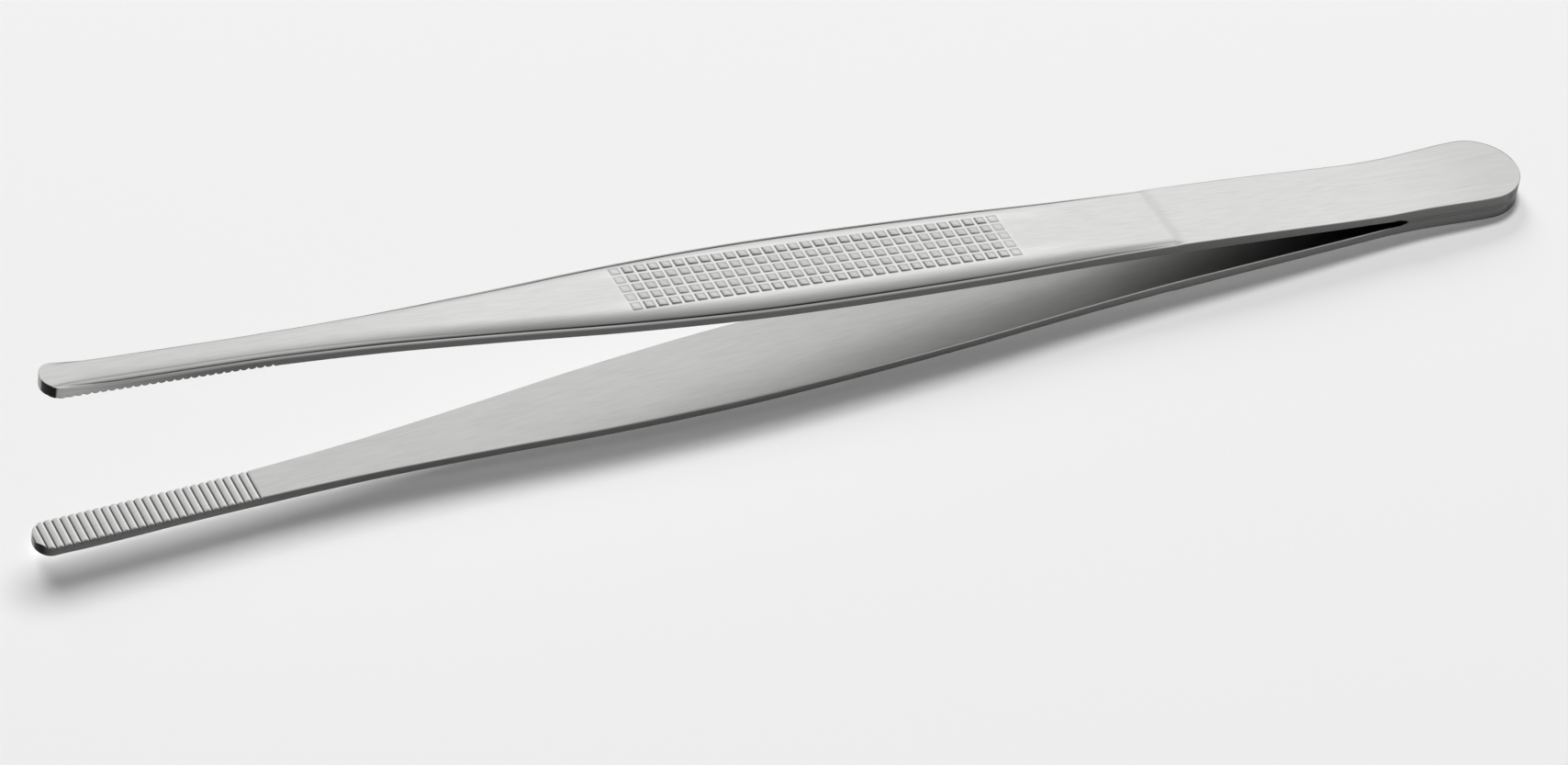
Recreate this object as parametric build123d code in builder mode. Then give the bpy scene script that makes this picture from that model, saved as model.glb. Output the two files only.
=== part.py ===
from build123d import *
import os
from math import asin, atan, cos, degrees, sin, sqrt

# Serving tweezers: two thin steel arms, welded together at the butt, that spring apart.
# Each arm has a serrated jaw, a crowned and knurled grip, a flat spring leaf and a tang.
# Lengths are in millimetres. Places along the arms are measured from the tips.

os.makedirs("parts", exist_ok=True)

# Whole tool
overall_length = 200.0
overrun = 5.0

# Jaws
jaw_length = 28.7
jaw_width = 4.8
nose_length = 1.9
tip_opening = 23.2
jaw_root_opening = 20.3
jaw_thickness = 1.95
tip_clearance = 0.05

# Grips
grip_width = 13.65
grip_thickness = 2.05
grip_place_share = 0.624
arm_bow = 0.1
rim_thickness = 1.15
ledge_width = 0.6
shoulder_width = 1.1
shoulder_height = 0.55
crown_seat = 0.4
swell_shares = ((0.22, 0.175), (0.40, 0.45), (0.59, 0.75), (0.81, 0.965))
narrowing_shares = ((0.39, 0.28), (0.74, 0.82))
stretch_sections = 6

# Jaw serrations
groove_count = 27
groove_width = 0.5
groove_depth = 0.35
smooth_nose_length = 1.1

# Knurled grip pads
pad_rows = 5
pad_pitch = 1.717
pad_row_pitch = 1.68
pad_side = 1.22
pad_height = 0.22
pad_seat = 0.3
bare_front_length = 45.2
bare_rear_length = 22.0

# Spring leaves
leaf_length = 30.4
waist_width = 11.26
leaf_thickness = 1.45
arm_root_opening = 4.6
arm_root_thickness = 1.55

# Tangs and butt
tang_length = 21.0
neck_width = 10.85
butt_width = 11.9
tang_thickness = 1.8
butt_edge_radius = 0.2
fork_gap = 0.9
fork_length = 1.3

# Weld metal between the tangs
weld_thickness = 0.3

# Places worked out from the sizes
tang_place = overall_length - tang_length
arm_length = tang_place - leaf_length
grip_place = jaw_length + grip_place_share * (arm_length - jaw_length)
groove_pitch = (jaw_length - smooth_nose_length) / groove_count
weld_place = tang_place + fork_length
butt_round_place = overall_length - butt_width / 2
half_butt = tang_thickness + weld_thickness / 2
half_span = grip_width / 2 + overrun

# The knurled field lies between two bare lengths and holds as many columns as fit.
pad_field_front = jaw_length + bare_front_length
pad_field_rear = arm_length - bare_rear_length
pad_field_place = (pad_field_front + pad_field_rear) / 2
pad_columns = round((pad_field_rear - pad_field_front) / pad_pitch)
first_pad_edge = pad_field_place - (pad_columns - 1) * pad_pitch / 2 - pad_side / 2


def inner_height(place):
    """Height of the upper arm's inner face above the middle plane: straight over the jaw,
    and over the grip a straight line raised by a shallow parabola."""
    if place <= jaw_length:
        share = place / jaw_length
        return (tip_opening + (jaw_root_opening - tip_opening) * share) / 2
    share = (place - jaw_length) / (arm_length - jaw_length)
    straight = (jaw_root_opening + (arm_root_opening - jaw_root_opening) * share) / 2
    return straight + 4 * arm_bow * share * (1 - share)


def crown_depth(place):
    """Thickness of an arm on its centre line: even over the jaw, fuller under the pads and
    running down to the spring leaf."""
    if place <= pad_field_front:
        share = max(place - jaw_length, 0) / (pad_field_front - jaw_length)
        start, end = jaw_thickness, grip_thickness
    else:
        share = max(place - pad_field_rear, 0) / (arm_length - pad_field_rear)
        start, end = grip_thickness, arm_root_thickness
    return start + (end - start) * share * share * (3 - 2 * share)


def rest_slope_at(place, thickness):
    """Slope of the line from the butt's lower end to the lower arm's outer face."""
    butt_place = overall_length - butt_edge_radius
    return (inner_height(place) + thickness - half_butt) / (butt_place - place)


# The tool lies on its lower arm, so the middle plane rises towards the tips until the
# butt's end and the arm's lowest stretch touch the same level.
rest_angle = atan(
    max(
        rest_slope_at(0, jaw_thickness),
        rest_slope_at(jaw_length, jaw_thickness),
        rest_slope_at(first_pad_edge, grip_thickness + pad_height),
    )
)
tip_reach = tip_opening / 2 + jaw_thickness
front = -tip_reach * sin(rest_angle)
back = overall_length * cos(rest_angle) + half_butt * sin(rest_angle)
tip_x = -(front + back) / 2
tip_z = (overall_length - butt_edge_radius) * sin(rest_angle) + half_butt * cos(rest_angle)

mid_plane = Plane(
    origin=(tip_x, 0, tip_z),
    x_dir=(cos(rest_angle), 0, -sin(rest_angle)),
    z_dir=(sin(rest_angle), 0, cos(rest_angle)),
)
side_plane = Plane(origin=mid_plane.origin, x_dir=mid_plane.x_dir, z_dir=(0, -1, 0))


def swell_points(sign):
    """Points of one long edge between the jaw and the widest place of the grip."""
    rise = (grip_width - jaw_width) / 2
    run = grip_place - jaw_length
    return [
        (jaw_length + along * run, sign * (jaw_width / 2 + up * rise))
        for along, up in swell_shares
    ]


def narrowing_points(sign):
    """Points of one long edge between the widest place of the grip and the spring leaf."""
    drop = (grip_width - waist_width) / 2
    run = arm_length - grip_place
    return [
        (grip_place + along * run, sign * (grip_width / 2 - down * drop))
        for along, down in narrowing_shares
    ]


def arm_edge(start, sign):
    """One long edge from the jaw to the spring leaf."""
    jaw_edge = sign * jaw_width / 2
    grip_edge = sign * grip_width / 2
    waist_edge = sign * waist_width / 2
    level = (1, 0)
    with BuildLine() as edge:
        Line((start, jaw_edge), (jaw_length, jaw_edge))
        Spline(
            (jaw_length, jaw_edge), *swell_points(sign), (grip_place, grip_edge),
            tangents=(level, level),
        )
        Spline(
            (grip_place, grip_edge), *narrowing_points(sign), (arm_length, waist_edge),
            tangents=(level, level),
        )
    return edge.line


def plan_outline():
    """The tool seen from above: round nose, long edges and round butt."""
    with BuildSketch() as outline:
        with BuildLine():
            ThreePointArc((nose_length, jaw_width / 2), (0, 0), (nose_length, -jaw_width / 2))
            for sign in (1, -1):
                add(arm_edge(nose_length, sign))
                Spline(
                    (arm_length, sign * waist_width / 2),
                    (tang_place, sign * neck_width / 2),
                    (butt_round_place, sign * butt_width / 2),
                    tangents=((1, 0), (1, 0)),
                )
            ThreePointArc(
                (butt_round_place, butt_width / 2),
                (overall_length, 0),
                (butt_round_place, -butt_width / 2),
            )
        make_face()
    return outline.sketch


def crown_stations():
    """Points along one long edge: places, and half the arm's width there."""
    stretches = arm_edge(-overrun, 1).edges().sort_by(Axis.X)
    stations = [
        stretch @ (number / stretch_sections)
        for stretch in stretches
        for number in range(stretch_sections)
    ]
    return stations + [stretches[-1] @ 1]


def crown_section(place, half_width, side):
    """The raised middle of an arm in cross-section, a ledge narrower than the arm on each
    side: seated in the edge band, upright, and then leaning in to a flat top."""
    foot = half_width - ledge_width
    shelf = foot - shoulder_width
    seat = side * (inner_height(place) + rim_thickness - crown_seat)
    knee = side * (inner_height(place) + crown_depth(place) - shoulder_height)
    top = side * (inner_height(place) + crown_depth(place))
    with BuildSketch() as section:
        with BuildLine():
            Polyline(
                (foot, seat), (foot, knee), (shelf, top),
                (-shelf, top), (-foot, knee), (-foot, seat),
                close=True,
            )
        make_face()
    return section.sketch


def serration_points(side):
    """The jaw's inner face from the side: evenly spaced grooves with sharp floors."""
    points = []
    for number in range(groove_count):
        place = smooth_nose_length + (number + 1 / 2) * groove_pitch
        for step, cut in ((-groove_width / 2, 0), (0, groove_depth), (groove_width / 2, 0)):
            points.append((place + step, side * (inner_height(place + step) + cut)))
    return points


def rim_profile(side):
    """The arm's edge band from the side: serrated and flat inside, level outside."""
    middle = (jaw_length + arm_length) / 2
    root = (jaw_length, side * inner_height(jaw_length))
    rear = (arm_length, side * inner_height(arm_length))
    tip = (0, side * inner_height(0))
    outer_rear = (arm_length, side * (inner_height(arm_length) + rim_thickness))
    outer_root = (jaw_length, side * (inner_height(jaw_length) + rim_thickness))
    outer_tip = (0, side * (inner_height(0) + rim_thickness))
    outer_middle = (middle, side * (inner_height(middle) + rim_thickness))
    with BuildSketch() as profile:
        with BuildLine():
            Polyline(tip, *serration_points(side), root)
            ThreePointArc(root, (middle, side * inner_height(middle)), rear)
            Line(rear, outer_rear)
            ThreePointArc(outer_rear, outer_middle, outer_root)
            Polyline(outer_root, outer_tip, tip)
        make_face()
    return profile.sketch


def block_profile(*corners):
    """A profile with straight sides through the given corners."""
    with BuildSketch() as profile:
        with BuildLine():
            Polyline(*corners, close=True)
        make_face()
    return profile.sketch


def outer_face_of(solid, side):
    """The face that lies furthest out from the middle plane on the given side."""
    faces = solid.faces().sort_by(Axis((0, 0, 0), mid_plane.z_dir))
    return faces[-1] if side > 0 else faces[0]


def make_arm(side):
    """One arm from the nose to the spring leaf: serrated jaw, edge band, crown and pads."""
    with BuildPart() as crown:
        for station in crown_stations():
            section_plane = Plane(
                origin=mid_plane.from_local_coords(Vector(station.X, 0, 0)),
                x_dir=(0, 1, 0),
                z_dir=mid_plane.x_dir,
            )
            with BuildSketch(section_plane):
                add(crown_section(station.X, station.Y, side))
        loft()
        with BuildSketch(mid_plane):
            add(plan)
        extrude(amount=side * (tip_reach + overrun), mode=Mode.INTERSECT)
    run = arm_length - jaw_length
    fall = inner_height(jaw_length) - inner_height(arm_length)
    pad_level = side * (inner_height(pad_field_place) + grip_thickness - pad_seat)
    along = mid_plane.from_local_coords(Vector(run, 0, -side * fall)) - mid_plane.origin
    pad_plane = Plane(
        origin=mid_plane.from_local_coords(Vector(pad_field_place, 0, pad_level)),
        x_dir=along,
        z_dir=along.cross(Vector(0, 1, 0)),
    )
    with BuildPart() as arm:
        with BuildSketch(mid_plane):
            add(plan)
        extrude(amount=side * (tip_reach + overrun))
        with BuildSketch(side_plane):
            add(rim_profile(side))
        extrude(amount=half_span, both=True, mode=Mode.INTERSECT)
        add(crown.part)
        with BuildSketch(pad_plane):
            with GridLocations(pad_pitch, pad_row_pitch, pad_columns, pad_rows):
                Rectangle(pad_side, pad_side)
        extrude(amount=side * (pad_seat + pad_height))
    return arm.part


def make_leaf(side):
    """The flat spring between an arm and its tang, as wide as the arm."""
    root_height = inner_height(arm_length)
    slab = block_profile(
        (arm_length, side * root_height),
        (tang_place, side * fork_gap / 2),
        (tang_place, side * half_butt),
        (arm_length, side * (root_height + leaf_thickness)),
    )
    with BuildPart() as leaf:
        with BuildSketch(mid_plane):
            add(plan)
        extrude(amount=side * (tip_reach + overrun))
        with BuildSketch(side_plane):
            add(slab)
        extrude(amount=half_span, both=True, mode=Mode.INTERSECT)
    return leaf.part


def make_tang(side):
    """Half of the butt: flat outside, with the sloping end of the fork inside."""
    slab = block_profile(
        (tang_place, side * fork_gap / 2),
        (weld_place, side * weld_thickness / 2),
        (overall_length + overrun, side * weld_thickness / 2),
        (overall_length + overrun, side * half_butt),
        (tang_place, side * half_butt),
    )
    with BuildPart() as tang:
        with BuildSketch(mid_plane):
            add(plan)
        extrude(amount=side * (tip_reach + overrun))
        with BuildSketch(side_plane):
            add(slab)
        extrude(amount=half_span, both=True, mode=Mode.INTERSECT)
        outer_face = outer_face_of(tang, side)
        rounded = outer_face.edges().sort_by(Axis.X)[1:]
        fillet(rounded, radius=butt_edge_radius)
    return tang.part


def make_weld():
    """The weld metal that joins the tangs, ground flush with their edges."""
    slab = block_profile(
        (weld_place, -weld_thickness / 2),
        (overall_length + overrun, -weld_thickness / 2),
        (overall_length + overrun, weld_thickness / 2),
        (weld_place, weld_thickness / 2),
    )
    with BuildPart() as weld:
        with BuildSketch(mid_plane):
            add(plan)
        extrude(amount=half_butt, both=True)
        with BuildSketch(side_plane):
            add(slab)
        extrude(amount=half_span, both=True, mode=Mode.INTERSECT)
    return weld.part


plan = plan_outline()

for side, name in ((1, "upper"), (-1, "lower")):
    for maker, piece in ((make_arm, "arm"), (make_leaf, "spring_leaf"), (make_tang, "tang")):
        solid = maker(side)
        solid.label = f"{name}_{piece}"
        export_step(solid, f"parts/{solid.label}.step")

weld_seam = make_weld()
weld_seam.label = "weld_seam"
export_step(weld_seam, "parts/weld_seam.step")


def print_joint_places():
    """Each arm bends about the middle of its leaf, until the tips almost meet."""
    place = (arm_length + tang_place) / 2
    height = (inner_height(arm_length) + fork_gap / 2 + leaf_thickness) / 2
    tip_height = inner_height(0) - height
    reach = sqrt(place**2 + tip_height**2)
    closing = asin(tip_height / reach) + asin((height - tip_clearance) / reach)
    for side in (1, -1):
        print("pivot", mid_plane.from_local_coords(Vector(place, 0, side * height)))
    print("closing angle in degrees", degrees(closing))
    print("rest angle in degrees", degrees(rest_angle))


print_joint_places()
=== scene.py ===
import bmesh
import bpy
import numpy as np
from mathutils import Matrix, Vector


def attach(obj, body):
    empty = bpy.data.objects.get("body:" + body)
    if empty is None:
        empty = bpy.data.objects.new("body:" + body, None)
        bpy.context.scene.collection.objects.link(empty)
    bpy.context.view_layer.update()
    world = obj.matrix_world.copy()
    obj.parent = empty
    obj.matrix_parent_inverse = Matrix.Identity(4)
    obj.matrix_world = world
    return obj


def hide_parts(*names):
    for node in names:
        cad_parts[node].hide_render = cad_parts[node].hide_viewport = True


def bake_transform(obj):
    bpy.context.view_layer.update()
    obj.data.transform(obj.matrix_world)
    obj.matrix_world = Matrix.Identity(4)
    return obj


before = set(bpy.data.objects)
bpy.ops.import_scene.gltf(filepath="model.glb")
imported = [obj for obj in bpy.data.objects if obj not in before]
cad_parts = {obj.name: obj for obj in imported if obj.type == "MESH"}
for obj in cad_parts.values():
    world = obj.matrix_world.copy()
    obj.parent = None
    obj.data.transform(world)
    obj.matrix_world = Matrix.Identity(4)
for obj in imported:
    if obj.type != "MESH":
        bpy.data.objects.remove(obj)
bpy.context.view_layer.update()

# Serving tweezers in brushed steel. Shapes are worked out in millimetres in the tool's own
# frame: place runs from the tips to the butt, across from the near edge to the far one and
# height away from the plane midway between the arms. They become metres at the end.
MM = 0.001
OVERALL = 200.0
REST_ANGLE = np.radians(3.456624984029036)
TIP_ORIGIN = np.array([-99.46837403, 0.0, 13.9929733])
ALONG = np.array([np.cos(REST_ANGLE), 0.0, -np.sin(REST_ANGLE)])
ACROSS = np.array([0.0, 1.0, 0.0])
UPWARD = np.array([np.sin(REST_ANGLE), 0.0, np.cos(REST_ANGLE)])

# A line along the tool is knots of (place, value). A pair of (start, run) says where a thing
# starts to rise and over what length; a negative run leads back. Half widths from above:
HALF_WIDTHS = (
    (0, 2.45), (22, 2.45), (28.5, 2.52), (36.5, 2.79), (44.6, 3.24), (58.6, 4.41),
    (72.7, 5.72), (88.8, 6.66), (103.8, 6.812), (120.9, 6.52), (136.9, 5.90), (148.6, 5.66),
    (159, 5.66), (169, 5.59), (179.1, 5.47), (184.1, 5.48), (188.2, 5.70), (192, 5.95),
    (194.05, 5.97), (OVERALL, 5.97),
)
NOSE_REACH = 2.1
BUTT_RADIUS = 5.95
BUTT_CENTRE = OVERALL - BUTT_RADIUS

# The halves differ at the nose, which is cut straight through the rim on the upper one and
# round on the lower one, and a little in the butt's thickness.
SIDES = {"upper": 1, "lower": -1}
NOSE_PLACES = {"upper": 0.1, "lower": 0.5}
NOSE_CUTS = {"upper": 1.0, "lower": 0.0}
HALF_BUTTS = {"upper": 1.60, "lower": 1.72}

# Openings and thicknesses.
JAW_LENGTH, ARM_LENGTH, TANG_PLACE = 28.7, 148.6, 179.0
TIP_HEIGHT, JAW_ROOT_HEIGHT, ARM_ROOT_HEIGHT, FORK_HEIGHT = 11.6, 10.15, 2.3, 0.45
ARM_BOW = 0.1
FORK_END, FORK_TAPER, WELD_HALF, NOTCH_REACH = 180.5, 1.1, 0.15, 0.4
CROWN_THICKNESSES = (
    (0, 1.62), (1.4, 1.82), (3.5, 1.95), (28.7, 1.95), (73.9, 2.044), (126.6, 2.044),
    (140, 1.92), (148.6, 1.80),
)
RIM_THICKNESSES = ((0, 1.15), (60, 1.18), (110, 1.22), (130, 1.30), (148.6, 1.42))
LEAF_THICKNESS, LEAF_EASING = 1.45, 0.12
SAG, SAG_START, SAG_LENGTH = 0.224, 157.0, 23.0
STEP_PLACE, STEP_LENGTH = 147.4, 2.6

# Extra rim thickness: at the cut nose, and along the jaw of the lower half.
CUT_THICKENINGS = ((0, 0.46), (2.5, 0.40), (9, 0), (OVERALL, 0))
LOW_RIM_THICKENINGS = (
    (0, 0.42), (6, 0.52), (12, 0.50), (18, 0.36), (30, 0.26), (42, 0.10), (55, 0), (OVERALL, 0),
)

# The arm's edge: a bead, which is rounder at the round nose, a narrow ledge that ends in a
# crease, and the crown's shoulder, which starts with a steep part at the front. The rounded
# inner edges close towards the fork's end, and below the closed radius they count as sharp.
BEAD_RADII = (
    (0, 0.10), (1.6, 0.12), (3.2, 0.30), (5, 0.40), (10, 0.42), (16, 0.38), (26, 0.28),
    (60, 0.24), (148.6, 0.2),
)
ROUND_NOSE_RADII = ((0, 0.32), (2.5, 0.20), (7, 0), (OVERALL, 0))
LEDGE_WIDTHS = ((0, 0.5), (110, 0.5), (138, 0.38), (148.6, 0.36))
SHOULDER_WIDTHS = (
    (0, 1.6), (28, 1.65), (60, 1.85), (80, 1.95), (115, 1.95), (132, 1.5), (142, 1.0),
    (148.6, 0.8),
)
LEDGE_SHARES = np.array([0, 0.03, 0.08, 0.16, 0.28, 0.42, 0.56, 0.70, 0.82, 0.92, 1.0])
SHOULDER_SHARES = np.array([0.03, 0.08, 0.16, 0.26, 0.38, 0.52, 0.68, 0.84, 1.0])
SHOULDER_POWER = 2.1
STEEP_WIDTH, STEEP_SHARES = 0.34, ((0, 0.5), (30, 0.45), (64, 0), (OVERALL, 0))
CREASE_DEPTH, CREASE_REACH, CREASE_ONSET = 0.06, 0.09, (2, 4)
EDGE_RADIUS = 0.12
INNER_RADII = ((0, 0.14), (24, 0.14), (32, 0.09), (100, 0.09), (122, 0.14), (148.6, 0.14))
INNER_CLOSING, CLOSED_RADIUS = (FORK_END, -4), 0.003

# The section's lines after the outer face: each wall, each rounded inner edge, inner face.
WALL_SHARES = np.array([0.25, 0.5, 0.75])
ARC = np.radians([0, 30, 60, 90])
INNER_SHARES = np.concatenate([[-0.985], np.linspace(-0.88, 0.88, 11), [0.985]])

# Jaw serrations, shallower at the nose of the upper half.
GROOVES, GROOVE_START, GROOVE_DEPTH, ROOT_STEP = 28, 0.078, 0.40, 0.04
GROOVE_PITCH = (JAW_LENGTH - GROOVE_START) / GROOVES
GROOVE_STEPS = np.array([0, 0.14, 0.28, 0.4, 0.465, 0.5, 0.535, 0.6, 0.72, 0.86])
RIDGE_FULLNESS, FLOOR_LIMIT, ROOT_STEP_RUN = 1.1, 0.995, 0.2
NOSE_SHALLOWING, SHALLOW_END = 0.75, (1, 5)

# Knurled pads of the grip. The first and last columns are faint, and the middle rows lower.
# Beside the pads the shoulder's lines are cleared away from theirs.
PAD_COLUMNS, PAD_ROWS, PAD_PITCH, PAD_ROW_PITCH = 31, 5, 1.717, 1.68
PAD_CENTRE, PAD_FOOT, PAD_TOP, PAD_HEIGHT = 100.25, 0.64, 0.50, 0.16
PAD_STEPS = np.array([-0.76, -0.64, -0.57, -0.50, 0.0, 0.50, 0.57, 0.64, 0.76])
FAINTNESS, FULL_COLUMNS, MIDDLE_ROW_SHARE, ROW_GAIN = 0.6, 14, 0.8, 0.1
CLEARING_START, CLEARING_END, PAD_CLEARANCE, LEAST_CLEARANCE = (64, 7), (138, -4), 0.03, 0.02

# Cross-sections: how many there are at the ends and the step, where they lie in the fork,
# plain stretches as (start, end, spacing), and lone ones beside those. One that comes closer
# than the least spacing is dropped, except at the very front of the nose.
NOSE_RINGS, BUTT_RINGS, STEP_RINGS, STEP_LEAD = 22, 40, 16, -0.1
FORK_STEPS = np.array([0, 0.1, 0.25, 0.5, 0.75, 0.9, 1])
PLAIN_STRETCHES = (
    (JAW_LENGTH + 1, 72.8, 1.4), (128.2, 147.0, 1.4), (150.6, 178.0, 1.4), (182.2, 194.0, 1.2),
)
LONE_PLACES = (JAW_LENGTH, JAW_LENGTH + 0.1, JAW_LENGTH + 0.2, 73.2, 127.4, 178.0, 179.0, 179.6)
LEAST_SPACING, FINE_NOSE, TOLERANCE = 0.02, 0.06, 0.001

# Meshes: the merge distance and the least edge in metres, and the angle of a sharp edge.
MERGE_DISTANCE, LEAST_EDGE, SHARP_ANGLE = 1e-7, 1e-8, np.radians(38)

# Sheared edges, painted dark: partly the real dullness of sheared steel, mostly painted shade.
# How dark the edges and the ledge are painted along the tool, with a painted shade line at the
# far edge and on the weld's sides, and how much of that painted shade each step round the
# inner edges loses, at the front and at the rear.
EDGE_DULL_SHADES = (
    (0, 0.60), (4, 0.56), (8, 0.72), (18, 0.95), (28, 1.0), (150, 1.0), (180, 0.94),
    (OVERALL, 0.94),
)
LOW_EDGE_DULL_SHADES = (
    (0, 0.85), (10, 0.80), (60, 0.80), (100, 0.85), (150, 0.86), (180, 0.94), (OVERALL, 0.94),
)
LEDGE_SHADES = (
    (0, 0.45), (30, 0.40), (42, 0.28), (66, 0.30), (81, 0.42), (116, 0.45), (131, 0.35),
    (141, 0.2), (148, 0.2),
)
BEAD_SHADE_SHARE, LEDGE_FADE = 0.6, 0.08
LEDGE_ONSET, LEDGE_CLOSE = (2, 6), (STEP_PLACE, -3)
FAR_EDGE_SHADE, FAR_EDGE_FADE, FAR_EDGE_ONSET = 0.62, 0.22, (1.5, 3)
FAR_EDGE_WIDTHS = ((0, 1.00), (30, 1.00), (62, 0.30), (OVERALL, 0.30))
FRONT_UNSHADING, REAR_UNSHADING = np.array([0, 0.4, 0.8, 1]), np.array([0, 0.75, 0.97, 1])
UNSHADING_CHANGE = (95, 15)
WELD_DULL_SHADE = 0.94

# Painted shade: how dark the creases and the shoulder's foot are painted, the nose's front by
# degrees round it, the butt's end, and the narrowing gap between the arms.
CREASE_DARKS = (
    (0, 0), (2.5, 0), (8, 0.36), (28, 0.50), (34, 0.60), (42, 0.86), (54, 0.96), (66, 1.0),
    (97, 1.0), (116, 0.94), (131, 0.80), (141, 0.62), (146, 0.25), (148, 0),
)
CREASE_WIDTHS = ((0, 0.10), (40, 0.12), (66, 0.19), (138, 0.19), (146, 0.10), (OVERALL, 0.10))
SHOULDER_DARK, STEEP_LIGHTENING = 0.5, 1.6
NOSE_DARK_ONSET, NOSE_DARK_ENDS = (6, 9), {"upper": (72, -9), "lower": (90, -50)}
FAR_NOSE_SHARE, BRINK_WIDTH = 0.3, 0.12
BUTT_DARK, BUTT_DARK_ONSET = 0.6, (0.3, 0.15)
DIM_EDGE_ONSET, DIM_EDGE_SHARES = (145, 8), np.array([0, 0, 0.5, 1])
GAP_DIMS = (
    (0, 0.06), (60, 0.02), (95, 0.05), (116, 0.17), (128, 0.23), (137, 0.27), (143, 0.36),
    (149, 0.44), (157, 0.55), (163, 0.62), (170, 0.76), (OVERALL, 0.85),
)

# Grey satin: along the outer faces and on the walls; painted shade at the step; less in a
# painted highlight band beside the pads.
OUTER_GREYS = (
    (0, 0.85), (25, 0.80), (45, 0.56), (60, 0.46), (178, 0.46), (188, 0.62), (194, 0.78),
    (OVERALL, 0.80),
)
WALL_GREY, STEP_GREY = 0.5, 1.8
SHINE, SHINE_DEPTH, SHINE_HALF = 0.3, 2.8, 0.7
SHINE_ONSET, SHINE_CLOSE = (66, 10), (138, -10)

# Paint of a ridge, in shares of the pitch: a painted highlight stripe, and the painted shade of
# the floor.
STRIPE_PLACE, STRIPE_HALF, STRIPE_FADE, RIDGE_GREY = 0.27, 0.15, 0.08, 0.92
FLOOR_PLACE, FLOOR_HALF, FLOOR_DARK = 0.53, 0.10, 0.56

# Paint of a pad, by the way from its middle: painted shade at the foot, grey top, the painted
# highlight bars between pads, and how much of each the first and last columns lose.
FOOT_WAY, FOOT_HALF, OUTER_FOOT_DARK, MIDDLE_FOOT_DARK = 0.585, 0.075, 0.85, 0.62
TOP_GREY, BAR_SHINE, BAR_RISE, BAR_FADE = 0.26, 0.34, 0.06, 0.1
BAR_END, BAR_ROW_END = 0.92, 0.9
FOOT_LOSS, TOP_LOSS, BAR_LOSS = 0.3, 0.8, 0.5


def rise(value, start, run):
    """Climbs evenly from 0 at the start to 1 a run further on; a negative run leads back."""
    return np.clip((value - start) / run, 0, 1)


def soft_rise(value, start, run):
    """The same climb with level ends: 3 s squared less 2 s cubed."""
    share = rise(value, start, run)
    return share * share * (3 - 2 * share)


def bell(off, half):
    """A bell curve: e to the power of minus the square of off over half."""
    return np.exp(-((off / half) ** 2))


def smooth_line(knots, where):
    """A cubic line through the knots. Its slope at a knot is that of the chord between the
    knot's neighbours, and it is level at both ends."""
    at, value = np.array(knots, float).T
    slope = np.zeros(len(at))
    slope[1:-1] = (value[2:] - value[:-2]) / (at[2:] - at[:-2])
    k = np.clip(np.searchsorted(at, where, side="right") - 1, 0, len(at) - 2)
    run = at[k + 1] - at[k]
    t = np.clip((where - at[k]) / run, 0, 1)
    return (
        (2 * t**3 - 3 * t**2 + 1) * value[k] + (t**3 - 2 * t**2 + t) * run * slope[k]
        + (3 * t**2 - 2 * t**3) * value[k + 1] + (t**3 - t**2) * run * slope[k + 1]
    )


def edge_line(place):
    """Half the tool's width, before its ends are rounded."""
    return smooth_line(HALF_WIDTHS, place)


def inner_height(place):
    """Height of the inner face: straight over the jaw, a shallow parabola over the grip,
    straight over the leaf, level in the fork, and a short slope at the fork's end."""
    jaw = TIP_HEIGHT + (JAW_ROOT_HEIGHT - TIP_HEIGHT) * place / JAW_LENGTH
    share = (place - JAW_LENGTH) / (ARM_LENGTH - JAW_LENGTH)
    arm = JAW_ROOT_HEIGHT + (ARM_ROOT_HEIGHT - JAW_ROOT_HEIGHT) * share
    arm = arm + 4 * ARM_BOW * share * (1 - share)
    slope = (ARM_ROOT_HEIGHT - FORK_HEIGHT) / (TANG_PLACE - ARM_LENGTH)
    leaf = np.maximum(ARM_ROOT_HEIGHT - slope * (place - ARM_LENGTH), FORK_HEIGHT)
    tapered = rise(place, FORK_END, FORK_TAPER)
    fork = FORK_HEIGHT + (WELD_HALF - FORK_HEIGHT) * tapered
    bent = np.where(place < JAW_LENGTH, jaw, np.where(place < ARM_LENGTH, arm, leaf))
    return np.where(place < FORK_END, bent, fork)


def sag(place):
    """How far the tool bends down towards the butt: a soft rise."""
    return SAG * soft_rise(place, SAG_START, SAG_LENGTH)


def groove_phase(place):
    """Place in the serrations, counted in ridges: whole numbers on the ridges' tops."""
    return (place - GROOVE_START) / GROOVE_PITCH


def groove_cut(place):
    """Depth of the serrations: round ridges, each the arc u squared + d squared = 1, with
    sharp floors between them, and a small step down to the plain face behind them."""
    phase = groove_phase(place)
    off = np.abs(phase - np.floor(phase) - 0.5) * 2
    reach = np.clip(1 - off, 0, FLOOR_LIMIT) ** RIDGE_FULLNESS
    cut = GROOVE_DEPTH * (1 - np.sqrt(1 - reach * reach))
    behind = ROOT_STEP * soft_rise(phase, GROOVES, ROOT_STEP_RUN)
    return np.where(phase < GROOVES, cut * (phase > 0), behind)


def groove_shade_and_highlight(place):
    """Painted shade and greyness of the serrations: painted shade on the floors on a bell curve,
    grey ridges, and a painted highlight stripe down each ridge's back side, round a quarter of the
    pitch."""
    phase = groove_phase(place)
    within = (phase > 0) & (phase < GROOVES)
    part = phase - np.floor(phase)
    grey = rise(np.abs(part - STRIPE_PLACE), STRIPE_HALF, STRIPE_FADE)
    dark = FLOOR_DARK * bell(part - FLOOR_PLACE, FLOOR_HALF)
    return dark * within, np.where(within, RIDGE_GREY * grey, 1.0)


def rounding(inset, radius):
    """Drop of a round edge at a distance in from it: r less the root of r squared less the
    square of what is left of r."""
    left = np.clip(radius - inset, 0, radius)
    return radius - np.sqrt(radius * radius - left * left)


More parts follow.
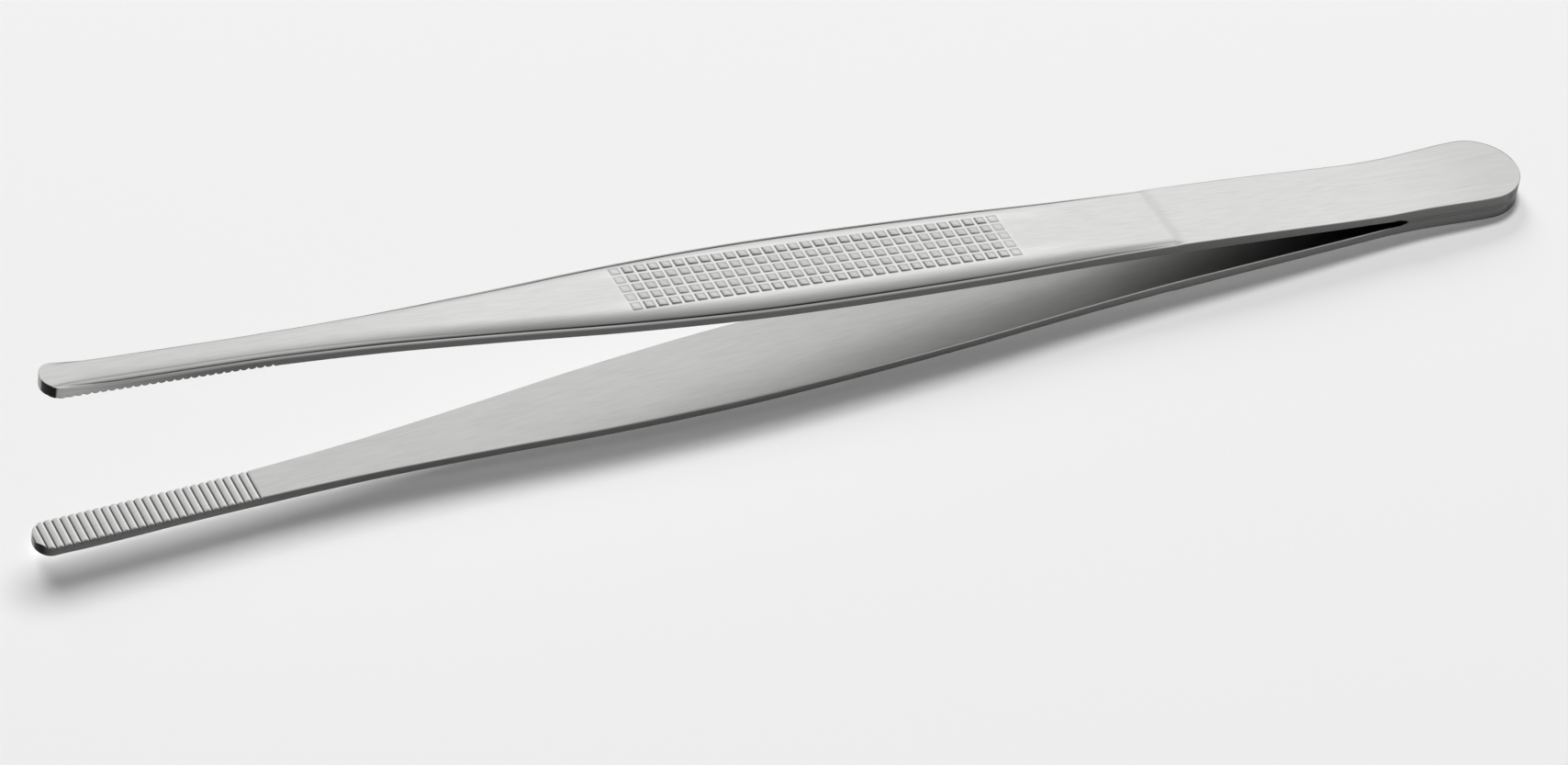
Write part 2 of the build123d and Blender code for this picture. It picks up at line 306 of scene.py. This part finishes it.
def pad_ways(place, across):
    """The nearest pad's column and row, and the distances from its middle."""
    columns, rows = PAD_COLUMNS // 2, PAD_ROWS // 2
    column = np.clip(np.round((place - PAD_CENTRE) / PAD_PITCH), -columns, columns)
    row = np.clip(np.round(across / PAD_ROW_PITCH), -rows, rows)
    along_way = np.abs(place - PAD_CENTRE - column * PAD_PITCH)
    return column, row, (along_way, np.abs(across - row * PAD_ROW_PITCH))


def pad_bump(place, across):
    """Height of the knurled pads: flat tops with plain slopes round them, lower on the
    first and last columns and a little lower on the middle rows."""
    column, row, ways = pad_ways(place, across)
    bump = PAD_HEIGHT * (1 - FAINTNESS * soft_rise(np.abs(column), FULL_COLUMNS, 1))
    bump = bump * (MIDDLE_ROW_SHARE + ROW_GAIN * np.abs(row))
    for way in ways:
        bump = bump * rise(way, PAD_FOOT, PAD_TOP - PAD_FOOT)
    return bump


def pad_shade_and_highlight(place, across):
    """Painted shade and greyness of the pads: painted shade at the feet on a bell curve, strongest
    on the outer rows, grey tops, and painted highlight bars between them."""
    column, row, ways = pad_ways(place, across)
    off = np.maximum(ways[0], ways[1])
    last = soft_rise(np.abs(column), FULL_COLUMNS, 1)
    foot = bell(off - FOOT_WAY, FOOT_HALF) * (1 - FOOT_LOSS * last)
    foot = foot * np.where(np.abs(row) > 1, OUTER_FOOT_DARK, MIDDLE_FOOT_DARK)
    top = rise(off, PAD_FOOT, PAD_TOP - PAD_FOOT) * (1 - TOP_LOSS * last)
    bars = rise(off, PAD_FOOT, BAR_RISE) * rise(ways[0], BAR_END, -BAR_FADE)
    bars = bars * rise(ways[1], BAR_ROW_END, -BAR_FADE) * (1 - BAR_LOSS * last)
    return foot, TOP_GREY * top - BAR_SHINE * bars


def outer_height(name, lines):
    """Height of the outer face. Over the arm it is a bead, a narrow ledge that ends in a
    crease, and a crown that rises from the crease and levels out; the nose is cut straight
    through them. Over the leaf and the tang it is flat with rounded edges."""
    place, across, depth, inset = lines
    nose_cut, half_butt = NOSE_CUTS[name], HALF_BUTTS[name]
    base = inner_height(np.minimum(place, ARM_LENGTH))
    rim = smooth_line(RIM_THICKNESSES, place) + nose_cut * smooth_line(CUT_THICKENINGS, place)
    rim = rim + (1 - nose_cut) * smooth_line(LOW_RIM_THICKENINGS, place)
    crown = smooth_line(CROWN_THICKNESSES, place)
    past = depth - smooth_line(LEDGE_WIDTHS, place)
    up = np.clip(past / smooth_line(SHOULDER_WIDTHS, place), 0, 1)
    crease = CREASE_DEPTH * bell(past, CREASE_REACH) * soft_rise(place, *CREASE_ONSET)
    steep = 1 - (1 - np.clip(past / STEEP_WIDTH, 0, 1)) ** 3
    steepness = smooth_line(STEEP_SHARES, place)
    climb = steepness * steep + (1 - steepness) * (1 - (1 - up) ** SHOULDER_POWER)
    bead = smooth_line(BEAD_RADII, place) + (1 - nose_cut) * smooth_line(ROUND_NOSE_RADII, place)
    arm = rim + (crown - rim) * climb - crease - rounding(inset, bead)
    left = (TANG_PLACE - place) * (ARM_ROOT_HEIGHT + LEAF_THICKNESS - half_butt)
    left = left / (TANG_PLACE - ARM_LENGTH)
    leaf = half_butt + (left + np.sqrt(left * left + LEAF_EASING**2)) / 2
    leaf = leaf - rounding(inset, EDGE_RADIUS)
    share = rise(place, STEP_PLACE, STEP_LENGTH)
    share = 1 - (1 - share) ** 3 * (1 + 3 * share)
    return (1 - share) * (base + arm) + share * leaf + pad_bump(place, across)


def stations(nose_place):
    """Places of the cross-sections: close together at the ends, in the serrations, at the
    pads' edges, at the step and in the fork, and about 1.4 mm apart elsewhere."""
    nose = nose_place + NOSE_REACH * (1 - np.cos(np.linspace(0, np.pi / 2, NOSE_RINGS)))
    butt = BUTT_CENTRE + BUTT_RADIUS * np.sin(np.linspace(0, np.pi / 2, BUTT_RINGS))
    grooves = GROOVE_START + GROOVE_PITCH * np.arange(GROOVES)[:, None]
    grooves = grooves + GROOVE_PITCH * GROOVE_STEPS
    pads = PAD_CENTRE + PAD_PITCH * (np.arange(PAD_COLUMNS) - PAD_COLUMNS // 2)[:, None]
    pads = pads + PAD_STEPS
    step = STEP_PLACE + STEP_LENGTH * np.linspace(STEP_LEAD, 1, STEP_RINGS)
    fork = FORK_END + FORK_TAPER * FORK_STEPS
    plain = [np.arange(*stretch) for stretch in PLAIN_STRETCHES]
    places = [nose, grooves.ravel(), pads.ravel(), step, fork, *plain, LONE_PLACES, butt]
    places = np.unique(np.concatenate(places).round(4))
    places = places[places >= nose_place]
    keep = np.concatenate([[True], np.diff(places) > LEAST_SPACING])
    keep[-1] = True
    return places[keep | (places < nose_place + FINE_NOSE)]


def end_turns(place, nose_place):
    """How far the outline has turned in at the nose and at the butt: 0 along the sides and 1
    at the very end, the cosine of the angle from there."""
    nose_turn = np.clip(1 - (place - nose_place) / NOSE_REACH, 0, 1)
    return nose_turn, rise(place, BUTT_CENTRE, BUTT_RADIUS)


def narrowing(place, nose_place):
    """The rounded outline's share of the side line: the root of 1 less the turn squared."""
    return np.sqrt(1 - np.maximum(*end_turns(place, nose_place)) ** 2)


def outer_lines(name, place):
    """The outer face's points: at every place a line of points over ledge, shoulder and pads,
    from the far edge to the near one. At the round ends the lines swing round together,
    x = c + y sin t and y cos t, until both halves meet. Where the pads are, the shoulder's
    lines keep clear of theirs. Returns x and y, the depth in from the tool's side line and
    the inset from its rounded outline."""
    nose_place, nose_cut = NOSE_PLACES[name], NOSE_CUTS[name]
    nose_turn, butt_turn = end_turns(place, nose_place)
    limit = edge_line(place)
    ledge, shoulder = smooth_line(LEDGE_WIDTHS, place), smooth_line(SHOULDER_WIDTHS, place)
    top = PAD_ROW_PITCH * (np.arange(PAD_ROWS) - PAD_ROWS // 2)[:, None] + PAD_STEPS
    top = top.ravel()
    clear = soft_rise(place, *CLEARING_START) * soft_rise(place, *CLEARING_END)
    room = limit - ledge - top[-1] - PAD_CLEARANCE - shoulder
    spread = shoulder + clear * np.minimum(room, 0)
    insets = np.concatenate([ledge * LEDGE_SHARES, ledge + spread * SHOULDER_SHARES], axis=1)
    squeeze = np.minimum(1, (limit - insets[:, -1:] - LEAST_CLEARANCE) / top[-1])
    flat = [limit - insets, (top * squeeze)[:, ::-1], insets[:, ::-1] - limit]
    flat = np.concatenate(flat, axis=1)
    inset = limit - np.abs(flat)
    share = np.abs(flat) / limit
    x = np.where(nose_turn > 0, nose_place + NOSE_REACH * (1 - share * nose_turn), place)
    x = np.where(butt_turn > 0, BUTT_CENTRE + np.abs(flat) * butt_turn, x)
    y = flat * narrowing(place, nose_place)
    return x, y, inset + nose_cut * (edge_line(x) - np.abs(y) - inset), inset


def join_ring(outer, near_wall, near_edge, inner, far_edge, far_wall):
    """Rings of values from those of their six stretches, in the order in which a ring runs. A
    value that is the same along a stretch fills it."""
    stretches = (
        (outer, outer.shape[1]), (near_wall, len(WALL_SHARES)), (near_edge, len(ARC)),
        (inner, len(INNER_SHARES)), (far_edge, len(ARC)), (far_wall, len(WALL_SHARES)),
    )
    return np.concatenate([
        np.broadcast_to(values, (len(outer), count)) for values, count in stretches
    ], axis=1)


def sheared_shade_shares(name, place, lines, open_edge):
    """How dark the sheared steel is painted, partly its real dullness and mostly painted shade:
    the walls, the bead less and less inwards, a painted shade line at the far edge, the ledge up
    to its crease, and less and less round the inner edges."""
    x, y, depth, inset = lines
    nose_cut = NOSE_CUTS[name]
    bead = BEAD_SHADE_SHARE * smooth_line(BEAD_RADII, x)
    shaded_edge = np.where(x > STEP_PLACE, EDGE_RADIUS, bead)
    outer, wall = (
        nose_cut * smooth_line(EDGE_DULL_SHADES, at) + (1 - nose_cut) * smooth_line(LOW_EDGE_DULL_SHADES, at)
        for at in (x, place)
    )
    outer = outer * np.clip(1 - inset / shaded_edge, 0, 1)
    far_edge = rise(inset, smooth_line(FAR_EDGE_WIDTHS, x), -FAR_EDGE_FADE)
    far_edge = FAR_EDGE_SHADE * far_edge * (y > 0)
    outer = np.maximum(outer, far_edge * soft_rise(x, *FAR_EDGE_ONSET))
    ledge = soft_rise(depth, smooth_line(LEDGE_WIDTHS, x) + LEDGE_FADE, -2 * LEDGE_FADE)
    ledge = ledge * smooth_line(LEDGE_SHADES, x)
    ledge = ledge * soft_rise(x, *LEDGE_ONSET) * soft_rise(x, *LEDGE_CLOSE)
    change = soft_rise(place, *UNSHADING_CHANGE)
    unshading = FRONT_UNSHADING + (REAR_UNSHADING - FRONT_UNSHADING) * change
    inner_edge = wall * (1 - open_edge * unshading)
    return join_ring(
        np.maximum(outer, ledge), wall, inner_edge, 0, inner_edge[:, ::-1], wall)


def painted_shade_shares(name, place, lines, open_edge):
    """How dark the painted shade is: in the crease on a bell curve across it, at the shoulder's
    foot, round the pads, in the serrations, at the nose's front and its brink, at the butt's end
    and in the narrowing gap between the arms."""
    x, y, depth, inset = lines
    past = depth - smooth_line(LEDGE_WIDTHS, x)
    crease = bell(past, smooth_line(CREASE_WIDTHS, x))
    up = np.clip(past / smooth_line(SHOULDER_WIDTHS, x), 0, 1)
    foot = SHOULDER_DARK * (1 - up) ** 2 * (up > 0)
    foot = foot * (1 - STEEP_LIGHTENING * smooth_line(STEEP_SHARES, x))
    crease = np.maximum(crease, foot) * smooth_line(CREASE_DARKS, x)

    nose_turn, butt_turn = end_turns(place, NOSE_PLACES[name])
    turned = np.degrees(np.arccos(nose_turn))
    nose = soft_rise(turned, *NOSE_DARK_ONSET) * soft_rise(turned, *NOSE_DARK_ENDS[name])
    butt = BUTT_DARK * soft_rise(butt_turn, *BUTT_DARK_ONSET)
    brink = np.clip(1 - inset / BRINK_WIDTH, 0, 1) * np.where(y < 0, 1, FAR_NOSE_SHARE) * nose
    outer = np.maximum.reduce([crease, pad_shade_and_highlight(x, y)[0], brink])

    groove = groove_shade_and_highlight(place)[0]
    # Painted shade in the narrowing gap between the arms.
    dim = smooth_line(GAP_DIMS, place)
    dim_edge = dim * soft_rise(place, *DIM_EDGE_ONSET) * open_edge * DIM_EDGE_SHARES
    near_edge, far_edge = (
        np.maximum(np.maximum(share * nose, groove), dim_edge) for share in (1, FAR_NOSE_SHARE)
    )
    return join_ring(
        outer, np.maximum(nose, butt), near_edge, np.maximum(groove, dim),
        far_edge[:, ::-1], np.maximum(FAR_NOSE_SHARE * nose, butt))


def greyed_shares(place, lines):
    """How grey the satin is: along the outer faces, over the pads, at the step as painted shade,
    less in the painted highlight band beside the pads on a bell curve across it, and in the
    serrations, with painted highlights on the pads' bars and the ridges' stripes."""
    x, y, depth = lines[:3]
    fall = rise(x, STEP_PLACE, STEP_LENGTH)
    outer = smooth_line(OUTER_GREYS, x) + pad_shade_and_highlight(x, y)[1]
    outer = outer + STEP_GREY * fall * (1 - fall) ** 2
    shine = bell(depth - SHINE_DEPTH, SHINE_HALF) * soft_rise(x, *SHINE_ONSET)
    outer = np.clip(outer - SHINE * (shine * soft_rise(x, *SHINE_CLOSE)), 0, 1)
    groove = groove_shade_and_highlight(place)[1]
    return join_ring(outer, WALL_GREY, groove, groove, groove, WALL_GREY)


def blade_surface(name):
    """Half of the tool from nose to butt as one closed surface. Ring by ring along the
    places it runs round the section: outer face from the far edge to the near one, near
    wall, rounded inner edge, inner face, rounded edge, far wall. Returns the points' three
    coordinates and the shares of painted shade and of greyness with painted highlights of every
    point."""
    place = stations(NOSE_PLACES[name])[:, None]
    lines = outer_lines(name, place)
    x_outer, y_outer = lines[:2]
    z_outer = outer_height(name, lines)
    edge = edge_line(place) * narrowing(place, NOSE_PLACES[name])

    shallow = NOSE_SHALLOWING * NOSE_CUTS[name] * (1 - soft_rise(place, *SHALLOW_END))
    floor = inner_height(place) + groove_cut(place) * (1 - shallow)
    radius = smooth_line(INNER_RADII, place) * soft_rise(place, *INNER_CLOSING)
    radius = np.minimum(radius, edge)
    low = floor + radius
    z_near = z_outer[:, -1:] + (low - z_outer[:, -1:]) * WALL_SHARES
    z_far = low + (z_outer[:, :1] - low) * WALL_SHARES
    y_round = edge - radius * (1 - np.cos(ARC))
    z_round = low - radius * np.sin(ARC)
    y_inner = INNER_SHARES * (edge - radius)

    along = join_ring(x_outer, place, place, place, place, place)
    across = join_ring(y_outer, -edge, -y_round, y_inner, y_round[:, ::-1], edge)
    height = join_ring(z_outer, z_near, z_round, floor, z_round[:, ::-1], z_far)
    open_edge = radius > CLOSED_RADIUS
    shares = {
        "sheared_shade": sheared_shade_shares(name, place, lines, open_edge),
        "painted_shade": painted_shade_shares(name, place, lines, open_edge),
        "greyed": greyed_shares(place, lines),
    }
    return along, across, SIDES[name] * height - sag(along), shares


def to_row(along, across, height):
    """Places in the tool's frame, in millimetres, as points of the row's frame in metres."""
    points = (
        TIP_ORIGIN + along[..., None] * ALONG + across[..., None] * ACROSS
        + height[..., None] * UPWARD
    )
    return points * MM


def lay_rings(name, points, shares):
    """A closed mesh from rings of points: ring i joins ring i + 1, and each ring closes on
    itself. Points that meet at the round ends are merged, and faces point outwards."""
    rings, lines = points.shape[:2]
    first = np.arange(rings - 1)[:, None] * lines + np.arange(lines)
    after = np.arange(rings - 1)[:, None] * lines + (np.arange(lines) + 1) % lines
    quads = np.stack([first, after, after + lines, first + lines], axis=-1).reshape(-1, 4)
    flat = points.reshape(-1, 3)
    a, b, c, d = (flat[quads[:, k]] for k in range(4))
    volume = (a * np.cross(b, c)).sum() + (a * np.cross(c, d)).sum()
    quads = quads if volume > 0 else quads[:, ::-1]
    mesh = bpy.data.meshes.new(name)
    mesh.from_pydata(flat.tolist(), [], quads.tolist())
    for share_name, values in shares.items():
        attribute = mesh.attributes.new(share_name, "FLOAT", "POINT")
        attribute.data.foreach_set("value", values.ravel().astype(np.float32))
    work = bmesh.new()
    work.from_mesh(mesh)
    bmesh.ops.remove_doubles(work, verts=work.verts, dist=MERGE_DISTANCE)
    bmesh.ops.dissolve_degenerate(work, edges=work.edges, dist=LEAST_EDGE)
    work.to_mesh(mesh)
    work.free()
    mesh.shade_smooth()
    mesh.set_sharp_from_angle(angle=SHARP_ANGLE)
    piece = bpy.data.objects.new(name, mesh)
    bpy.context.scene.collection.objects.link(piece)
    return piece


def make_blade(name):
    """One half of the tool, with its shares of painted shade and of greyness with painted
    highlights.
    """
    along, across, height, shares = blade_surface(name)
    return lay_rings(f"{name}_blade", to_row(along, across, height), shares)


def make_weld():
    """The weld metal between the tangs: a thin slab with the butt's outline, whose front is
    the notch at the fork's end, 45 degrees to each side."""
    place = stations(0)
    place = place[place >= FORK_END + FORK_TAPER - TOLERANCE][:, None]
    edge = edge_line(place) * narrowing(place, 0)
    levels = WELD_HALF * np.array([-1, -0.5, 0, 0.5, 1])
    shares = np.linspace(-1, 1, 9)[1:-1]
    face = np.full(len(shares), WELD_HALF)
    across = [edge + 0 * levels, -shares * edge, -edge + 0 * levels, shares * edge]
    across = np.concatenate(across, axis=1)
    height = np.concatenate([levels, face, levels[::-1], -face]) + 0 * across
    front = np.clip(1 - (place - place[0]) / NOTCH_REACH, 0, 1)
    along = place + front * (WELD_HALF - np.abs(height))
    ring = to_row(along, across, height - sag(along))
    cap = ring[:1].copy()
    cap[..., 1] = 0
    points = np.concatenate([cap, ring])
    flags = np.ones(points.shape[:2])
    # The weld's sides are painted dark like the walls: partly dull steel, mostly painted shade.
    return lay_rings("weld_metal", points, {
        "sheared_shade": WELD_DULL_SHADE * flags, "painted_shade": 0 * flags, "greyed": WALL_GREY * flags,
    })


# Finishes. A grain is its scales per metre and its detail; it starts to darken the steel at a
# level of the noise and does so by its strength.
BRIGHT_STEELS = (0.875, 0.875, 0.868, 1), (0.84, 0.843, 0.828, 1)
SATIN_STEELS = (0.625, 0.625, 0.62, 1), (0.585, 0.588, 0.575, 1)
LINE_STEEL, STROKE_STEEL = (0.42, 0.42, 0.415, 1), (0.36, 0.36, 0.355, 1)
# Painted shade: the sheared edges' colour (partly dull steel, mostly painted shade) and the
# near-black of creases, gaps and recesses.
SHEARED_SHADE_STEEL, PAINTED_SHADE_STEEL = (0.115, 0.115, 0.113, 1), (0.012, 0.012, 0.012, 1)
LINES, LINE_START, LINE_STRENGTH = ((110, 4200, 4200), 2.0), 0.36, 0.42
STROKES, STROKE_START, STROKE_STRENGTH = ((230, 2600, 2600), 3.0), 0.42, 0.55
DRIFT = ((60, 300, 300), 2.0)
ROUGHNESS, LINE_ROUGHNESS, SHEARED_ROUGHNESS, GREYED_ROUGHNESS = 0.25, 0.10, 0.08, 0.05
BUMP_STRENGTH, BUMP_HEIGHT = 0.10, 0.00002
FLOOR_PAINT, FLOOR_REACH = (0.90, 0.90, 0.90, 1), 3


class Signal:
    """A shader value that sums and products can be written with; each adds a Math node."""

    def __init__(self, tree, socket):
        self.tree, self.socket = tree, socket

    def _maths(self, operation, first, second):
        return node(self.tree, "ShaderNodeMath", {"operation": operation}, {0: first, 1: second})

    def __add__(self, other):
        return self._maths("ADD", self, other)

    def __sub__(self, other):
        return self._maths("SUBTRACT", self, other)

    def __mul__(self, other):
        return self._maths("MULTIPLY", self, other)

    def __rsub__(self, other):
        return self._maths("SUBTRACT", other, self)

    __radd__, __rmul__ = __add__, __mul__


def node(tree, kind, settings=(), values=(), output=0):
    """A shader node of the kind: its settings first, then its sockets' values or links."""
    made = tree.nodes.new(kind)
    for name, value in dict(settings).items():
        setattr(made, name, value)
    for key, value in dict(values).items():
        if isinstance(value, Signal):
            tree.links.new(value.socket, made.inputs[key])
        else:
            made.inputs[key].default_value = value
    return Signal(tree, made.outputs[output]) if made.outputs else None


def tint(tree, share, plain, other):
    """A colour between two colours."""
    return node(
        tree, "ShaderNodeMix", {"data_type": "RGBA"}, {0: share, 6: plain, 7: other}, output=2,
    )


def empty_tree(holder):
    """The node tree of a material or the world, switched on and cleared."""
    holder.use_nodes = True
    holder.node_tree.nodes.clear()
    return holder.node_tree


def grain(tree, level, scales, detail):
    """Noise stretched along the tool: the levelled place times the scales."""
    place = node(tree, "ShaderNodeMapping", {}, {"Vector": level, "Scale": scales})
    return node(tree, "ShaderNodeTexNoise", {}, {"Vector": place, "Scale": 1.0, "Detail": detail})


def brushed_steel(name):
    """Satin steel brushed lengthwise: bright outer faces, greyer inner faces, sheared edges
    painted dark (partly dull, mostly painted shade), painted shade in the creases and gaps,
    and painted highlights where the greyness drops away."""
    material = bpy.data.materials.new(name)
    tree = empty_tree(material)
    where = node(tree, "ShaderNodeTexCoord", output="Object")
    level = node(tree, "ShaderNodeMapping", {}, {"Vector": where, "Rotation": (0, -REST_ANGLE, 0)})
    lines, strokes, drift = (grain(tree, level, *kind) for kind in (LINES, STROKES, DRIFT))
    # Shares of painted shade on the sheared edges and in the creases, and of greyness with painted
    # highlights.
    sheared_shade, painted_shade, greyed = (
        node(tree, "ShaderNodeAttribute", {"attribute_name": share}, output="Fac")
        for share in ("sheared_shade", "painted_shade", "greyed")
    )
    steel = tint(tree, drift, *BRIGHT_STEELS)
    steel = tint(tree, greyed, steel, tint(tree, drift, *SATIN_STEELS))
    steel = tint(tree, (lines - LINE_START) * LINE_STRENGTH, steel, LINE_STEEL)
    stroke = (strokes - STROKE_START) * greyed * STROKE_STRENGTH
    steel = tint(tree, stroke, steel, STROKE_STEEL)
    # Painted shade: first the dark sheared edges, then the creases, gaps and recesses.
    steel = tint(tree, sheared_shade, steel, SHEARED_SHADE_STEEL)
    steel = tint(tree, painted_shade, steel, PAINTED_SHADE_STEEL)
    rough = ROUGHNESS + lines * LINE_ROUGHNESS + sheared_shade * SHEARED_ROUGHNESS
    rough = rough + greyed * GREYED_ROUGHNESS
    bumps = node(tree, "ShaderNodeBump", {}, {
        "Strength": BUMP_STRENGTH, "Distance": BUMP_HEIGHT, "Height": lines,
    })
    shader = node(tree, "ShaderNodeBsdfPrincipled", {}, {
        "Base Color": steel, "Metallic": 1.0, "Roughness": rough, "Normal": bumps,
    })
    node(tree, "ShaderNodeOutputMaterial", {}, {"Surface": shader})
    return material


def pale_floor():
    """Matt pale grey, the same all over."""
    material = bpy.data.materials.new("floor_paint")
    tree = empty_tree(material)
    paint = node(tree, "ShaderNodeBsdfDiffuse", {}, {"Color": FLOOR_PAINT, "Roughness": 0.0})
    node(tree, "ShaderNodeOutputMaterial", {}, {"Surface": paint})
    return material


def facing(tree, sky, way):
    """How far a direction of the sky points the way: their dot product."""
    ways = {0: sky, 1: way}
    return node(tree, "ShaderNodeVectorMath", {"operation": "DOT_PRODUCT"}, ways, "Value")


def graded(tree, value, span, levels, curve="LINEAR"):
    """Runs from the first level to the second while the value runs over the span."""
    return node(tree, "ShaderNodeMapRange", {"interpolation_type": curve}, {
        "Value": value, "From Min": span[0], "From Max": span[1],
        "To Min": levels[0], "To Max": levels[1],
    })


# The object: the two blades and the weld metal between their tangs.
steel = brushed_steel("brushed_steel")
casters = {}
for name, side in SIDES.items():
    blade = make_blade(name)
    blade.data.materials.append(steel)
    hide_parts(f"{name}_arm", f"{name}_spring_leaf", f"{name}_tang")
    middle = side * (ARM_ROOT_HEIGHT + FORK_HEIGHT + LEAF_THICKNESS) / 2
    start, end = (
        to_row(np.array(x), np.array(0.0), np.array(middle)) for x in (TANG_PLACE, ARM_LENGTH)
    )
    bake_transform(blade)
    casters[name] = bpy.data.collections.new(f"{name}_caster")
    casters[name].objects.link(blade)
weld = make_weld()
weld.data.materials.append(steel)
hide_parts("weld_seam")
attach(weld, "butt")

# The floor.
floor_mesh = bpy.data.meshes.new("floor")
floor_mesh.from_pydata([
    (-FLOOR_REACH, -FLOOR_REACH, 0), (FLOOR_REACH, -FLOOR_REACH, 0),
    (FLOOR_REACH, FLOOR_REACH, 0), (-FLOOR_REACH, FLOOR_REACH, 0),
], [], [(0, 1, 2, 3)])
floor = bpy.data.objects.new("floor", floor_mesh)
floor_mesh.materials.append(pale_floor())
bpy.context.scene.collection.objects.link(floor)

# Soft studio light. What steel and the camera see is a sky that is bright over the back of
# the table and dim over its front, with a bright ring round the horizon; matt surfaces get
# a dim fill and the lamps, so that the floor keeps the shadow.
BRIGHT_SIDE, OVERHEAD, FRONT = (0.35, 0.80, 0.49), (0.0, 0.0, 1.0), (0.0, -1.0, 0.0)
world = bpy.data.worlds.new("studio")
bpy.context.scene.world = world
tree = empty_tree(world)
sky = node(tree, "ShaderNodeTexCoord", output="Generated")
glow = graded(tree, facing(tree, sky, BRIGHT_SIDE), (-0.02, 0.97), (0.38, 1.05))
ring = graded(tree, facing(tree, sky, OVERHEAD), (0.48, 0.66), (0.85, 0.0), "SMOOTHSTEP")
glow = glow + ring * (1 - glow)
fill = graded(tree, facing(tree, sky, FRONT), (-0.5, 0.5), (0.02, 0.10), "SMOOTHSTEP")
seen = (
    node(tree, "ShaderNodeLightPath", output="Is Camera Ray")
    + node(tree, "ShaderNodeLightPath", output="Is Glossy Ray")
    + node(tree, "ShaderNodeLightPath", output="Is Transmission Ray")
)
light = node(tree, "ShaderNodeBackground", {}, {
    "Color": (1, 1, 1, 1), "Strength": glow * seen + fill * (1 - seen),
})
node(tree, "ShaderNodeOutputWorld", {}, {"Surface": light})

# The floor's shadow is made of two soft ones: the upper half blocks the lamp overhead and
# the lower half a low, wide one far behind; the fill lamp throws none. Each lamp's name,
# place, width in metres, power in watts, and the half that blocks it:
for name, place, width, power, half in (
    ("key_lamp", (0.32, 0.565, 2.35), 0.62, 32.2, "upper"),
    ("low_lamp", (0.40, 9.32, 3.20), 4.32, 715.0, "lower"),
    ("fill_lamp", (0.0, 0.50, 2.35), 1.1, 9.4, None),
):
    lamp_data = bpy.data.lights.new(name, "AREA")
    lamp_data.shape = "DISK"
    lamp_data.size = width
    lamp_data.energy = power
    lamp = bpy.data.objects.new(name, lamp_data)
    lamp.visible_glossy = lamp.visible_camera = False
    lamp.location = place
    lamp.rotation_euler = (-Vector(place)).to_track_quat("-Z", "Y").to_euler()
    lamp_data.use_shadow = half is not None
    if half:
        lamp.light_linking.blocker_collection = casters[half]
    bpy.context.scene.collection.objects.link(lamp)

# The camera stands where the photograph was taken from.
PHOTO_WIDTH, FOCAL_PIXELS, SENSOR_WIDTH = 1708, 7310.19, 36.0
CAMERA_PLACE = Vector((-0.289585, -0.551916, 0.541942))
camera_data = bpy.data.cameras.new("camera")
camera_data.sensor_width = SENSOR_WIDTH
camera_data.lens = FOCAL_PIXELS / PHOTO_WIDTH * SENSOR_WIDTH
camera_data.clip_start = 0.05
camera = bpy.data.objects.new("camera", camera_data)
right = Vector((0.90919, -0.41164, 0.06272))
up = Vector((0.22938, 0.62082, 0.74964))
back = Vector((-0.34752, -0.66718, 0.65886))
turn = Matrix((right, up, back)).transposed().to_4x4()
camera.matrix_world = Matrix.Translation(CAMERA_PLACE) @ turn
bpy.context.scene.collection.objects.link(camera)
bpy.context.scene.camera = camera
bpy.context.scene.view_settings.view_transform = "Standard"
